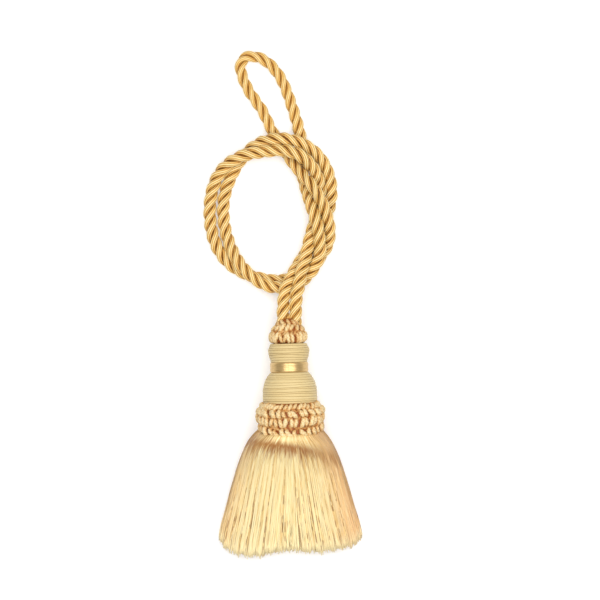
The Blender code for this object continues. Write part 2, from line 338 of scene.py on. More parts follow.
ROUTE = (
    # x, y, z
    # out of the neck, and down under the other half
    (-6.0, 94.2, 27.5),
    (-5.8, 101.0, 27.2),
    (-5.4, 109.0, 25.0),
    (-4.4, 118.0, 22.5),
    (0.5, 129.0, 18.5),
    (5.8, 138.8, 12.0),
    (11.8, 148.2, 6.5),
    (18.8, 157.8, 4.5),
    (25.5, 170.0, 4.5),
    (30.5, 184.0, 4.5),
    (32.5, 198.5, 4.5),
    (29.5, 214.0, 5.0),
    # over the top of the knot
    (21.5, 227.0, 9.0),
    (7.5, 236.5, 14.5),
    (-9.5, 240.0, 14.5),
    (-24.6, 236.6, 9.0),
    (-36.8, 227.2, 4.6),
    # down the left, on the inside
    (-46.2, 212.8, 4.3),
    (-52.6, 195.3, 4.5),
    (-53.3, 174.0, 4.5),
    (-47.2, 152.6, 8.0),
    # over its neighbour and along the bottom, under both halves at the neck
    (-38.8, 138.2, 13.0),
    (-29.1, 128.7, 13.5),
    (-17.5, 122.5, 12.5),
    (-4.0, 121.5, 11.5),
    (8.0, 126.0, 12.0),
    (17.0, 135.0, 13.5),
    # up the right, over the first pass, and in under the top
    (23.0, 146.5, 15.0),
    (23.0, 159.0, 18.5),
    (21.0, 172.0, 20.5),
    (16.6, 186.0, 16.5),
    (12.6, 199.5, 8.0),
    (9.5, 213.0, 5.0),
    (9.5, 228.0, 4.5),
    # the hanging loop
    (7.0, 246.0, 4.5),
    (0.5, 268.0, 4.5),
    (-6.5, 286.0, 4.5),
    (-13.0, 296.0, 4.5),
    (-21.0, 303.0, 4.5),
    (-29.5, 306.0, 4.5),
    (-36.6, 304.7, 4.5),
    (-40.0, 298.4, 4.5),
    (-38.5, 290.0, 4.5),
    (-33.0, 278.0, 4.5),
    (-22.5, 262.5, 4.5),
    (-15.5, 248.0, 4.5),
    (-9.5, 238.0, 4.5),
    # under the top of the knot, and down the right on the outside
    (-1.9, 225.7, 8.5),
    (6.9, 214.1, 15.0),
    (16.6, 202.9, 22.5),
    (24.5, 190.0, 20.5),
    (29.5, 176.5, 15.5),
    (31.0, 163.5, 10.0),
    (27.8, 152.3, 5.5),
    (20.0, 142.0, 4.5),
    # along the bottom, under everything
    (9.5, 133.5, 4.5),
    (-2.0, 128.0, 4.5),
    (-15.0, 127.0, 4.5),
    (-27.5, 129.5, 4.5),
    (-40.2, 134.5, 4.5),
    # up the left, on the outside
    (-50.9, 142.5, 4.5),
    (-60.3, 157.3, 4.5),
    (-64.5, 178.5, 4.5),
    (-62.0, 201.0, 5.0),
    (-55.2, 214.6, 8.6),
    # over the top, inside the first pass
    (-43.8, 223.8, 13.8),
    (-30.6, 228.2, 15.6),
    (-17.4, 230.1, 16.0),
    (-3.5, 230.5, 19.5),
    (8.0, 226.0, 22.0),
    (16.5, 218.0, 16.5),
    (22.0, 207.5, 10.5),
    # down the right, under the second pass, and back to the neck
    (23.5, 195.0, 8.0),
    (21.2, 182.0, 8.7),
    (17.7, 168.5, 11.5),
    (14.5, 156.5, 14.0),
    (12.0, 145.5, 17.0),
    (9.0, 134.5, 22.0),
    (6.8, 124.0, 25.5),
    (4.8, 114.5, 26.4),
    (4.0, 103.0, 27.3),
    (3.8, 94.4, 27.5),
)


def natural_spline(at, knots, reach):
    """The natural cubic spline through knots that lie at "at", read at reach.

    Between two knots the curve is the straight blend of them, plus (n^3 - n) w^2 / 6
    times the bend at each, where n is the nearness to that knot and w the distance
    between the two.  The bends come from the rule that slopes meet at every knot.
    """
    steps = np.diff(at)
    system = np.diag(np.concatenate(([1.0], 2.0 * (steps[:-1] + steps[1:]), [1.0])))
    inner = np.arange(1, len(knots) - 1)
    system[inner, inner - 1] = steps[:-1]
    system[inner, inner + 1] = steps[1:]
    target = np.zeros_like(knots)
    target[1:-1] = 6.0 * np.diff(np.diff(knots, axis=0) / steps[:, None], axis=0)
    bend = np.linalg.solve(system, target)
    span = np.clip(np.searchsorted(at, reach, side="right") - 1, 0, len(knots) - 2)
    width = steps[span][..., None]
    far = (reach - at[span])[..., None] / width
    near = 1.0 - far
    straight = near * knots[span] + far * knots[span + 1]
    curved = (near**3 - near) * bend[span] + (far**3 - far) * bend[span + 1]
    return straight + curved * width**2 / 6.0


ROUTE_SAMPLES = 6001     # points on which the curve's real length is measured


def smooth_route(knots, positions):
    """The rope's centre line, read at positions from 0 to 1 of its distance in plan."""
    steps = np.linalg.norm(np.diff(knots[:, :2], axis=0), axis=1)
    at = np.concatenate(([0.0], np.cumsum(steps)))
    curve = natural_spline(at, knots, np.asarray(positions) * at[-1])
    curve[:, 2] = np.maximum(curve[:, 2], CORD_LOWEST)
    return curve


def even_route(knots, count):
    """The same curve at count points that lie evenly along its real length."""
    fine = np.linspace(0.0, 1.0, ROUTE_SAMPLES)
    curve = smooth_route(knots, fine)
    gone = np.linalg.norm(np.diff(curve, axis=0), axis=1)
    along = np.concatenate(([0.0], np.cumsum(gone)))
    return smooth_route(knots, np.interp(np.linspace(0.0, along[-1], count), along, fine))


ROPE_RINGS = 1000        # rings of points along the rope
TUCK = 4.0               # how far each end goes on into the neck
TUCK_RINGS = 4           # rings more for each of the two tucks

centre = even_route(np.array(ROUTE), ROPE_RINGS)

# %% [markdown]
# ## The rope
#
# Three strands are laid round each other, and each strand is a bundle of fine yarns.
# A twisted texture on a plain tube would give neither the bumpy outline nor the deep
# grooves, so each strand is its own tube, whose centre runs as a helix round the route.
# The yarns are shallow ridges on the strand.  The rope is thicker and more tightly laid
# by the neck than in the hanging loop, where it is stretched.

# %% Strands
STRANDS = 3
STRAND_AROUND = 32       # points round a strand
YARNS_IN_STRAND = 8
YARN_DEPTH = 0.26        # a ridge's height, in shares of the strand's radius
YARN_TWIST = 62.0        # how far a yarn runs in one turn round its strand
STRAND_SPREAD = 0.262    # a strand's middle from the rope's, in shares of the diameter
STRAND_RADIUS = 0.238    # a strand's radius, in the same shares
CREST_CROWDING = 0.5     # how much closer a strand's points sit on its outer side

# How the rope is laid along its length.
# along: share of the length; diameter over the crests; lay: length of one full turn.
LAY = (
    # along, diameter, lay
    (0.00, 11.0, 27.5),
    (0.05, 10.8, 28.0),
    (0.12, 10.6, 28.5),
    (0.42, 10.5, 29.0),
    (0.47, 9.4, 31.0),
    (0.56, 9.3, 33.0),
    (0.61, 9.7, 30.5),
    (0.66, 10.6, 29.0),
    (0.94, 10.8, 28.0),
    (1.00, 11.0, 27.5),
)


def frames_along(line):
    """Side and up along a line of points: square to it, and the side lies level."""
    tangent = unit(np.gradient(line, axis=0))
    side = unit(np.cross(tangent, (0.0, 0.0, 1.0)))
    return side, np.cross(side, tangent)


RIDGE_FULLNESS = 0.8     # below 1 the ridges are full and the valleys narrow
ON_TABLE = 0.03          # yarn that would reach below the table is pressed flat on it


def ridges(turn, count):
    """count rounded ridges round a full turn: 1 on a crest, 0 in the valley between."""
    return np.abs(np.sin(0.5 * count * turn)) ** RIDGE_FULLNESS


def tube_rings(middle, out, radius, turn, yarns, twist, depth):
    """Tubes round their middle lines, with yarns as ridges on their skin.

    Skin = middle + reach (across sin t + outward cos t), where outward is out made
    square to the line, across is square to both, and reach = radius (1 - depth +
    depth ridge).  twist turns the ridges as they run along.
    """
    forward = unit(np.gradient(middle, axis=1))
    across = unit(np.cross(forward, out))
    outward = np.cross(across, forward)
    ridge = ridges(turn + twist[..., None], yarns)
    reach = radius[..., None] * (1.0 - depth + depth * ridge)
    skin = middle[:, :, None] + across[:, :, None] * (reach * np.sin(turn))[..., None]
    skin = skin + outward[:, :, None] * (reach * np.cos(turn))[..., None]
    skin[..., 2] = np.maximum(skin[..., 2], ON_TABLE)
    return skin, ridge


def strand_rings(line):
    """The rope's strands as rings of points, with what each point carries.

    A strand's middle is a helix: line + spread (side sin a + up cos a), where a grows
    by a full turn in each lay.  Points sit closer together on its outer side.
    """
    step = np.linalg.norm(np.diff(line, axis=0), axis=1)
    along = np.concatenate(([0.0], np.cumsum(step)))
    table = np.array(LAY)
    share = along / along[-1]
    size, lay = (np.interp(share, table[:, 0], table[:, column]) for column in (1, 2))
    turns_made = np.cumsum(step / (0.5 * (lay[1:] + lay[:-1])))
    angle = np.concatenate(([0.0], turns_made)) * FULL_TURN
    side, up = frames_along(line)
    helix = (angle + np.arange(STRANDS)[:, None] * FULL_TURN / STRANDS)[..., None]
    out = side * np.sin(helix) + up * np.cos(helix)
    middle = line + STRAND_SPREAD * size[:, None] * out
    radius = np.broadcast_to(STRAND_RADIUS * size, middle.shape[:2])
    even = np.arange(STRAND_AROUND) * FULL_TURN / STRAND_AROUND
    turn = even - CREST_CROWDING * np.sin(even)
    twist = along / YARN_TWIST * FULL_TURN + np.arange(STRANDS)[:, None]
    rings, ridge = tube_rings(middle, out, radius, turn, YARNS_IN_STRAND, twist, YARN_DEPTH)
    depth = np.linalg.norm(rings - line[:, None], axis=-1) / (0.5 * size[:, None])
    return rings, {
        "crest": depth,
        "ridge": ridge,
        "along": along[:, None],
        "around": turn + twist[..., None],
    }


# %% [markdown]
# ### The rope's gold
#
# Silky yarn is bright where it faces the light and deep brown between the strands.  Light alone
# would give some of that, and the rest is painted into the colour: painted shade in the grooves and
# between the yarns' ridges, and a painted highlight on the crests, worked out from how far a point
# stands out of the groove and from the yarns' own ridges.  In the stretched hanging loop the
# grooves are shallow, so the tones there are drawn together and the painted shade is weaker.

# %% The rope's finish
ROPE_GOLDS = (
    # tone, colour
    (0.00, (0.10, 0.030, 0.003)),
    (0.22, (0.34, 0.125, 0.014)),
    (0.46, (0.64, 0.32, 0.060)),
    (0.74, (0.82, 0.53, 0.155)),
    (0.97, (0.95, 0.77, 0.37)),
)
GROOVE_TO_CREST = (0.58, 0.80, 1.0)  # shares of the rope's radius: groove, flank, crest
LOOP_STARTS = (470.0, 530.0)         # along the rope, where the hanging loop begins
LOOP_ENDS = (650.0, 710.0)           # and where it ends
LOOP_TONE = 0.68                     # the tone that the loop is drawn towards
LOOP_SHARE = 0.28                    # and how far
FIBRE_RELIEF = 0.0002                # metres


def rope_finish():
    """Gold rayon: a painted highlight in cream on the crests, orange gold lower down, and painted
    shade in brown in the grooves.
    """
    finish = Finish("rope_yarn")
    along, around = finish.carried("along"), finish.carried("around")
    out = finish.carried("crest")
    bottom, flank, top = GROOVE_TO_CREST
    groove, crest = out.between(bottom, flank), out.between(flank, top)
    streak = finish.noise(finish.place(along * 0.05, around * 1.4, 0.0), 2.2)
    # Painted shade in the grooves and between the yarns, and a painted highlight on the crests and
    # on the yarns' ridges.
    tone = groove * 0.42 + crest * 0.30 + finish.carried("ridge") * 0.78 + streak * 0.34 - 0.59
    loop = along.between(*LOOP_STARTS) * (1.0 - along.between(*LOOP_ENDS))
    tone = tone + loop * (LOOP_TONE - tone) * LOOP_SHARE
    finish.colour(finish.ramp(tone, ROPE_GOLDS))
    finish.roughness(0.48 - 0.16 * crest)
    finish.bump(finish.noise(finish.place(along * 0.12, around * 6.0, 0.0), 4.0), FIBRE_RELIEF)
    return finish.material


way_in = unit(centre[:1] - centre[1:2])
way_out = unit(centre[-1:] - centre[-2:-1])
tucks = np.linspace(TUCK, 1.0, TUCK_RINGS)[:, None]
start_tuck = centre[:1] + way_in * tucks
end_tuck = centre[-1:] + way_out * tucks[::-1]
rope_line = np.concatenate((start_tuck, centre, end_tuck))
rope_rings, rope_values = strand_rings(rope_line)
rope = yarn_piece("rope", rope_rings, rope_finish(), rope_values)
place_piece(rope, "rope_yarn", "cord")
tuple(centre[0] * MM)

# %% [markdown]
# ## Wound thread
#
# The dome and the bulb are wooden moulds wound with thread, turn beside turn.  A bump
# could draw the turns, but then the outline would stay smooth, so the turns are real:
# the mould's profile is followed in small steps, and every turn stands out of it as a
# half round.  Turns lie in pairs with a deeper gap between pairs, none quite like the
# next.  The satin band between dome and bulb is made in the same way, with much finer
# and flatter turns.

# %% Turned profiles, station up the axis and radius
DOME = (
    (24.3, 20.6),
    (26.0, 21.5),
    (29.6, 21.8),
    (34.4, 21.7),
    (39.2, 21.0),
    (43.2, 19.5),
    (46.4, 17.5),
    (49.0, 15.3),
)
SATIN_BAND = (
    (48.9, 14.6),
    (49.6, 15.0),
    (53.0, 15.1),
    (56.4, 15.0),
    (57.1, 14.6),
)
BULB = (
    (57.0, 14.3),
    (60.0, 15.3),
    (63.2, 16.1),
    (66.4, 16.7),
    (69.4, 15.8),
    (72.0, 14.4),
)

# %% Winding
SINGLE_DEPTH = 0.35      # the gap between the two turns of a pair, to that between pairs
MOST_SUNK = 0.5          # how deep a pair may sink, in the same shares
WAVER = 0.28             # how far pairs waver along the axis, in shares of their pitch
# Each gap between pairs gets its own depth of painted shade.
SHALLOWEST_GAP = 0.55    # the palest gap's depth of colour, to the darkest's


def wound_rings(profile, pitch, proud, around, samples):
    """A profile of (station, radius) wound with pairs of thread, as rings.

    Radius = profile - proud (sink + pair + SINGLE_DEPTH single), where pair and single
    are 1 - sqrt(1 - (2u - 1)^2), with u from 0 to 1 across a pair and across one turn,
    and sink is that pair's own.  The borders between pairs waver along the axis by
    small cosines of the turn, which are their own too.
    """
    table = np.array(profile)
    pairs = int(round((table[-1, 0] - table[0, 0]) / pitch))
    share = np.linspace(0.0, 1.0, pairs * samples + 1)
    station = table[0, 0] + share * (table[-1, 0] - table[0, 0])
    turn = np.arange(around) * FULL_TURN / around
    number = np.minimum((share * pairs).astype(int), pairs - 1)
    across_pair = share * pairs - number
    pair, single = (
        1.0 - np.sqrt(np.clip(1.0 - (2.0 * np.mod(across_pair * n, 1.0) - 1.0) ** 2, 0.0, 1.0))
        for n in (1, 2)
    )
    radius = natural_spline(table[:, 0], table[:, 1:], station)[:, 0]
    sink = rng.uniform(0.0, MOST_SUNK, pairs)[number]
    phase = rng.uniform(0.0, FULL_TURN, (2, pairs + 1))
    border = np.arange(pairs + 1)
    waver = 0.0
    for waves, own in enumerate(phase, start=1):
        strength = np.interp(share * pairs, border, np.cos(own))[:, None]
        waver = waver + strength * np.cos(waves * turn + own[0])
    inside = np.sin(np.pi * share)[:, None]
    out = (radius - proud * (sink + pair + SINGLE_DEPTH * single))[:, None]
    moved = station[:, None] + WAVER * pitch * waver * inside
    rings = on_head(np.broadcast_to(out, waver.shape), moved, turn)
    # Painted shade in the gaps: deepest between pairs, slighter between the two turns of a pair.
    gap = rng.uniform(SHALLOWEST_GAP, 1.0, pairs + 1)
    valley = pair**2 * np.where(across_pair < 0.5, gap[number], gap[number + 1])
    return rings[None], {
        "ridge": (1.0 - 0.8 * valley - 0.2 * single)[None, :, None],
        "tone": rng.uniform(0.0, 1.0, pairs)[number][None, :, None],
        "around": turn,
        "along": station[:, None],
    }


# %% [markdown]
# ### Plain thread and satin thread
#
# Plain thread is matt: pale on each turn, with painted shade in the gaps, so its colour follows the
# ridges.  Satin thread lies so close and smooth that it mirrors the light round it like brushed
# metal, so it is partly metallic, with soft streaks that run round with it and a little painted
# shade in its gaps.

# %% The thread's finishes
THREAD_BEIGES = (
    # tone, colour
    (0.00, (0.16, 0.075, 0.02)),
    (0.40, (0.41, 0.235, 0.085)),
    (0.68, (0.64, 0.47, 0.20)),
    (1.00, (0.76, 0.61, 0.31)),
)
THREAD_RELIEF = 0.00015  # metres
SATIN_GOLDS = (
    # tone, colour
    (0.2, (0.38, 0.215, 0.07)),
    (0.5, (0.57, 0.375, 0.145)),
    (0.8, (0.71, 0.51, 0.24)),
)
SATIN_METAL = 0.65       # how metallic the satin looks
SATIN_RELIEF = 0.0001    # metres


def wound_finish():
    """Beige gold thread: pale on each turn, painted shade in tan in the gaps, no two turns alike.
    """
    finish = Finish("wound_yarn", Roughness=0.5)
    around, along = finish.carried("around"), finish.carried("along")
    streak = finish.noise(finish.place(around * 3.0, along * 2.4, 0.0), 3.0)
    # The ridge value puts painted shade in the gaps between turns.
    tone = finish.carried("ridge") + finish.carried("tone") * 0.14 + streak * 0.26 - 0.27
    finish.colour(finish.ramp(tone, THREAD_BEIGES))
    finish.bump(finish.noise(finish.place(around * 24.0, along * 3.0, 0.0), 6.0), THREAD_RELIEF)
    return finish.material


def satin_finish():
    """Satin thread: smoother, so that it mirrors the soft box and the dim room."""
    finish = Finish("satin_yarn", Metallic=SATIN_METAL)
    around, along = finish.carried("around"), finish.carried("along")
    streak = finish.noise(finish.place(around * 1.6, along * 1.2 + around * 1.4, 0.0), 1.6)
    # A little painted shade in the gaps between turns, under streaks of tone that run round with
    # the thread.
    finish.colour(finish.ramp(finish.carried("ridge") * 0.3 + streak * 0.7, SATIN_GOLDS))
    finish.roughness(0.32 + 0.08 * streak)
    finish.bump(streak, SATIN_RELIEF)
    return finish.material


# %% Make the wound pieces
THREAD_PAIR = 1.85       # two turns of winding thread, along the axis
THREAD_PROUD = 0.42      # how far a turn stands out of the gap beside it
THREAD_SAMPLES = 12      # rings of points for each pair
SATIN_PAIR = 1.0
SATIN_PROUD = 0.05
SATIN_SAMPLES = 8
DOME_AROUND = 132        # points round
BULB_AROUND = 104

wound = wound_finish()
for name, profile, around in (("dome", DOME, DOME_AROUND), ("bulb", BULB, BULB_AROUND)):
    rings, values = wound_rings(profile, THREAD_PAIR, THREAD_PROUD, around, THREAD_SAMPLES)
    place_piece(yarn_piece(f"wound_{name}", rings, wound, values), "wound_yarn", name)

rings, values = wound_rings(SATIN_BAND, SATIN_PAIR, SATIN_PROUD, BULB_AROUND, SATIN_SAMPLES)
place_piece(yarn_piece("satin_winding", rings, satin_finish(), values), "satin_yarn", "satin_band")

# %% [markdown]
# ## The knotted collars
#
# Each collar is a band of knots in soft yarn, worked round a core that is coloured darker, as
# painted shade.  Seen close, a knot is a short fat loop of a few plies whose ends dive under its
# neighbours, so each one here is a bent tube, thick in the middle and thin where it dives.  A row
# is one array of such tubes, none quite like the next.  Rows of fat knots take turns with rows of
# small slanting ones that fill the gaps between them, and the knots of the lowest row are bent
# nearly to half rings.  The core shows rust brown between them, which is painted shade.

# %% The collars' cores, station up the axis and radius
NECK_CORE = (
    (71.9, 9.6),
    (74.0, 12.0),
    (78.0, 12.2),
    (81.6, 11.2),
    (85.0, 9.2),
    (88.0, 7.6),
    (90.0, 6.4),
    (91.8, 3.0),
)
COLLAR_CORE = (
    (-0.9, 23.0),
    (2.0, 23.2),
    (6.0, 23.4),
    (9.6, 23.8),
    (13.6, 24.3),
    (17.0, 24.0),
    (20.6, 22.2),
    (24.6, 20.0),
)
NECK_SAG = 0.0
COLLAR_SAG = 6.4         # how far the lowest row hangs lower on top than at the sides
SAG_FADE = 0.034         # the share of the sag that is lost with each mm up the axis
SAG_REST = 0.7           # cos of the turn at which a row stays where it is
CORE_RINGS = 30
CORE_AROUND = 96


def core_radius(core, station):
    """The core's radius at a station."""
    table = np.array(core)
    return np.interp(station, table[:, 0], table[:, 1])


def sagged(station, turn, most):
    """How far a row shifts at a turn: most (1 - fade station) (rest - cos turn on top)."""
    weight = np.clip(1.0 - SAG_FADE * station, 0.0, 1.0)
    return most * weight * (SAG_REST - np.maximum(np.cos(turn), 0.0))


def core_rings(core, sag):
    """The core: its profile of (station, radius) turned about the head's axis."""
    station = np.linspace(core[0][0], core[-1][0], CORE_RINGS)[:, None]
    turn = np.arange(CORE_AROUND) * FULL_TURN / CORE_AROUND
    out = core_radius(core, station) + 0.0 * turn
    return on_head(out, station + sagged(station, turn, sag), turn)[None]


# %% The collars' rows
# Each row: station of its middle, how many, length and width of a knot, how far it
# slants ("/" is more than 0, in degrees), how far its middle stands out of the core,
# how much each is moved at random, how bent it is, and how close it sits to its pair.
NECK_ROWS = (
    # station, count, length, width, slant, proud, jitter, bow, paired
    (77.1, 25, 8.8, 3.7, 3.0, 1.6, 0.8, 0.3, 0.06),
    (80.6, 26, 5.0, 2.2, 50.0, 0.5, 0.8, 0.0, 0.0),
    (84.0, 15, 6.4, 4.0, 40.0, 1.3, 0.7, -0.6, 0.0),
    (88.0, 12, 5.0, 3.4, -34.0, 0.9, 0.6, 0.3, 0.0),
)
COLLAR_ROWS = (
    # station, count, length, width, slant, proud, jitter, bow, paired
    (22.1, 38, 5.4, 3.6, 44.0, 1.5, 0.7, 0.4, 0.0),
    (19.8, 44, 5.0, 2.2, -50.0, 0.2, 0.8, 0.0, 0.0),
    (17.3, 38, 5.6, 4.2, -22.0, 1.7, 0.75, -0.6, 0.08),
    (14.0, 44, 5.0, 2.3, 50.0, 0.0, 0.8, 0.0, 0.0),
    (10.6, 38, 7.8, 4.2, 3.0, 1.7, 0.7, 0.6, 0.10),
    (6.4, 44, 5.0, 2.3, -50.0, 0.1, 0.8, 0.0, 0.0),
    (2.6, 29, 7.2, 4.1, -30.0, 1.7, 0.7, -2.2, 0.0),
)
KNOT_STATIONS = 9        # rings of points along a knot
KNOT_AROUND = 16
KNOT_PLIES = 3
PLY_DEPTH = 0.36         # the valley between two plies, in shares of the knot's radius
PLY_TWIST = 3.2          # how far the plies turn from a knot's middle to its end
KNOT_DIVE = 1.3          # how deep its ends dive, in shares of how far it stands out
KNOT_THINNING = 0.6      # how much of its thickness, squared, is lost at its ends
SLANT_JITTER = 30.0      # degrees
BOW_JITTER = 0.6
STATION_JITTER = 0.8
SIZE_JITTER = 0.5        # a longer knot is also thicker, and stands further out
KNOT_LEAN = 0.35         # how far a knot faces up the axis, for each mm that it faces out


def row_of_knots(core, row, sag):
    """One row of knots round a core, as tubes, with what their points carry.

    A knot's middle line runs over the core's skin.  For t from -1 to 1 it lies half t
    sin slant + bow (1 - t^2) across, half t cos slant up the axis, and proud (1 -
    KNOT_DIVE t^4) out, where half is half its length.  Its radius is half its width
    times the square root of 1 - KNOT_THINNING t^2.
    """
    station, count, length, width, slant, proud, jitter, bow, paired = row
    t = np.linspace(-1.0, 1.0, KNOT_STATIONS)
    moved = rng.uniform(-jitter, jitter, (5, count, 1))
    angle = np.radians(slant + SLANT_JITTER * moved[0])
    half = 0.5 * (length + moved[1])
    bend = (bow + BOW_JITTER * moved[2]) * (1.0 - t**2)
    across = half * t * np.sin(angle) + bend + moved[3]
    upward = station + half * t * np.cos(angle) + STATION_JITTER * moved[4]
    base = core_radius(core, upward)
    number = np.arange(count) + paired * np.where(np.arange(count) % 2, -1.0, 1.0)
    turn = number[:, None] * FULL_TURN / count + across / core_radius(core, station)
    upward = upward + sagged(station, turn, sag)
    lift = proud * (1.0 - KNOT_DIVE * t**4) + SIZE_JITTER * moved[1]
    middle = on_head(base + lift, upward, turn)
    out = middle - on_head(0.0 * base, upward - KNOT_LEAN * (base + lift), turn)
    radius = 0.5 * (width + SIZE_JITTER * moved[1]) * np.sqrt(1.0 - KNOT_THINNING * t**2)
    plies = PLY_TWIST * t + rng.uniform(0.0, FULL_TURN, (count, 1))
    even = np.arange(KNOT_AROUND) * FULL_TURN / KNOT_AROUND
    rings, ridge = tube_rings(middle, unit(out), radius, even, KNOT_PLIES, plies, PLY_DEPTH)
    tone = rng.uniform(0.0, 1.0, count)[:, None, None]
    return rings, knot_values(rings, core, ridge, tone)


def knot_values(rings, core, ridge, tone):
    """What a knot's points carry: height over the core, its plies, and its own tone.

    The height is the distance from the head's leaning axis less the core's radius.
    """
    lean = np.radians(HEAD_LEAN)
    x, y, z = rings[..., 0], rings[..., 1] - LEAN_PIVOT_Y, rings[..., 2] - AXIS_HEIGHT
    side = x * np.cos(lean) + y * np.sin(lean)
    station = y * np.cos(lean) - x * np.sin(lean) + LEAN_PIVOT_Y - FOOT_Y
    over = np.hypot(side, z) - core_radius(core, station)
    return {"crest": over, "ridge": ridge, "tone": tone + 0.0 * ridge}


# %% [markdown]
# ### The knots' peach, and their painted rust shade
#
# The same yarn looks cream where it stands out and rust where it dives: light that gets down
# between the knots has met dyed yarn several times, so it is dim and red.  That shade and the
# highlights on the knots' tops are painted into the colour, which goes by the height over the core
# and by the plies, not by the light, and each knot has a tone of its own.

# %% The knots' finish
KNOT_COLOURS = (
    # tone, colour
    (0.00, (0.36, 0.10, 0.020)),
    (0.18, (0.50, 0.21, 0.055)),
    (0.44, (0.62, 0.35, 0.125)),
    (0.72, (0.72, 0.49, 0.22)),
    (1.00, (0.86, 0.68, 0.38)),
)
KNOT_HEIGHTS = (0.9, 3.6)    # mm over the core, from the darkest to the palest yarn
WOOL_GRAIN = 420.0           # lumps of colour for each metre
FUZZ_GRAIN = 1800.0
FUZZ_RELIEF = 0.0002         # metres


def knot_finish():
    """Peach cream yarn: painted shade in rust down towards the core and a painted highlight on top,
    as the colour goes by the height over the core.
    """
    finish = Finish("knotted_yarn", Roughness=0.45, Specular_IOR_Level=0.3)
    place = finish.object_place()
    raised = finish.carried("crest").between(*KNOT_HEIGHTS)
    # Painted rust shade down towards the core and between the plies, and a painted highlight on the
    # knots' tops.
    tone = raised * 0.60 + finish.carried("ridge") * 0.56 - 0.25
    tone = tone + finish.carried("tone") * 0.12 + finish.noise(place, WOOL_GRAIN) * 0.16
    finish.colour(finish.ramp(tone, KNOT_COLOURS))
    finish.bump(finish.noise(place, FUZZ_GRAIN), FUZZ_RELIEF)
    return finish.material


# %% Make the collars
# The core gets the deepest painted shade, darker than any knot.
CORE_VALUES = {"crest": -0.6, "ridge": 0.0, "tone": 0.0}    # darker than any knot

knotted = knot_finish()
for name, core, rows, sag in (
    ("neck_collar", NECK_CORE, NECK_ROWS, NECK_SAG),
    ("wide_collar", COLLAR_CORE, COLLAR_ROWS, COLLAR_SAG),
):
    inner = yarn_piece(f"{name}_core", core_rings(core, sag), knotted, CORE_VALUES)
    place_piece(inner, "knotted_yarn", name)
    made = [row_of_knots(core, row, sag) for row in rows]
    rings = np.concatenate([rings for rings, _ in made])
    values = {key: np.concatenate([kept[key] for _, kept in made]) for key in made[0][1]}
    place_piece(yarn_piece(f"{name}_knots", rings, knotted, values), "knotted_yarn", name)

# %% [markdown]
# ## The skirt
#
# The skirt is some thousands of fine silky yarns that leave the collar together, bend
# over its edge, and lie down fanwise on the table.  Hair particles would do it, but
# they leave no mesh behind, so each yarn is a thin tube.  All yarns are worked out at
# once: a yarn is a place round the skirt (its turn) and a depth under its surface, and
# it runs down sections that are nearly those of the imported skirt.  They only start
# higher beside the collar, where the yarns come out from under its knots.  A plain
# closed core under them, a little smaller, stops light from passing through.

# %% The skirt's sections, from the collar (fall 0) to the hem (fall 1)
SKIRT = (
    # fall, left, right, height, waist, squareness
    (0.000, -25.6, 24.6, 53.6, 27.2, 2.0),
    (0.028, -28.6, 26.4, 55.2, 25.0, 2.1),
    (0.060, -32.0, 29.3, 54.6, 22.0, 2.2),
    (0.110, -35.8, 33.3, 50.6, 18.0, 2.3),
    (0.185, -39.0, 36.7, 43.6, 14.0, 2.4),
    (0.310, -42.6, 40.8, 35.0, 10.5, 2.5),
    (0.440, -45.8, 44.2, 28.6, 8.5, 2.6),
    (0.570, -48.8, 47.2, 23.8, 7.0, 2.7),
    (0.700, -51.5, 50.3, 20.0, 5.8, 2.8),
    (0.830, -54.5, 53.6, 16.8, 5.0, 2.9),
    (0.930, -56.4, 55.8, 14.6, 4.5, 3.0),
    (1.000, -57.2, 57.0, 13.4, 4.2, 3.0),
)
YARN_LENGTH = (
    # share of the way across, length
    (0.00, 84.0),
    (0.04, 91.5),
    (0.12, 96.6),
    (0.22, 98.6),
    (0.32, 97.2),
    (0.40, 93.9),
    (0.50, 93.6),
    (0.62, 94.4),
    (0.74, 94.6),
    (0.86, 92.4),
    (0.95, 89.4),
    (1.00, 82.0),
)
SHOULDER_RISE = 4.6      # how far up beside the collar the yarns start at the sides
SHOULDER_FALL = 0.16     # the fall at which that has faded out
SHOULDER_FADE = 1.5      # how quickly it fades out towards the top of the skirt


def skirt_points(fall, turn, depth, longer=0.0):
    """Points in the skirt: depth under its surface, at a fall and a turn.

    The turn runs from +X (0) over the top (a quarter).  Each section is a superellipse,
    side = sign cos |cos|^(2/s), rise likewise with sin, about its waist, shrunk by
    depth.  It starts SHOULDER_RISE clip(1 - fade sin turn) higher, fading with the fall.
    """
    table = np.array(SKIRT)
    measures = natural_spline(table[:, 0], table[:, 1:], np.clip(fall, 0.0, 1.0))
    left, right, height, waist, squareness = np.moveaxis(measures, -1, 0)
    power = 2.0 / squareness
    side = np.sign(np.cos(turn)) * np.abs(np.cos(turn)) ** power
    rise = np.sign(np.sin(turn)) * np.abs(np.sin(turn)) ** power
    lengths = np.array(YARN_LENGTH)
    length = np.interp(0.5 * (1.0 + side), lengths[:, 0], lengths[:, 1]) + longer
    x = 0.5 * (left + right) + (0.5 * (right - left) - depth) * side
    z = waist + (height - waist - depth) * rise
    rising = np.clip(1.0 - SHOULDER_FADE * np.sin(turn), 0.0, 1.0)
    rising = rising * (1.0 - smooth_step(0.0, SHOULDER_FALL, fall))
    leaning = (1.0 - fall) * np.tan(np.radians(HEAD_LEAN)) * x
    foot = FOOT_Y + leaning + SHOULDER_RISE * rising
    return np.stack((x, foot - fall * length, z), axis=-1)


EVEN_FALL = 0.9          # the section round which the yarns are shared out
EVEN_SAMPLES = 2401


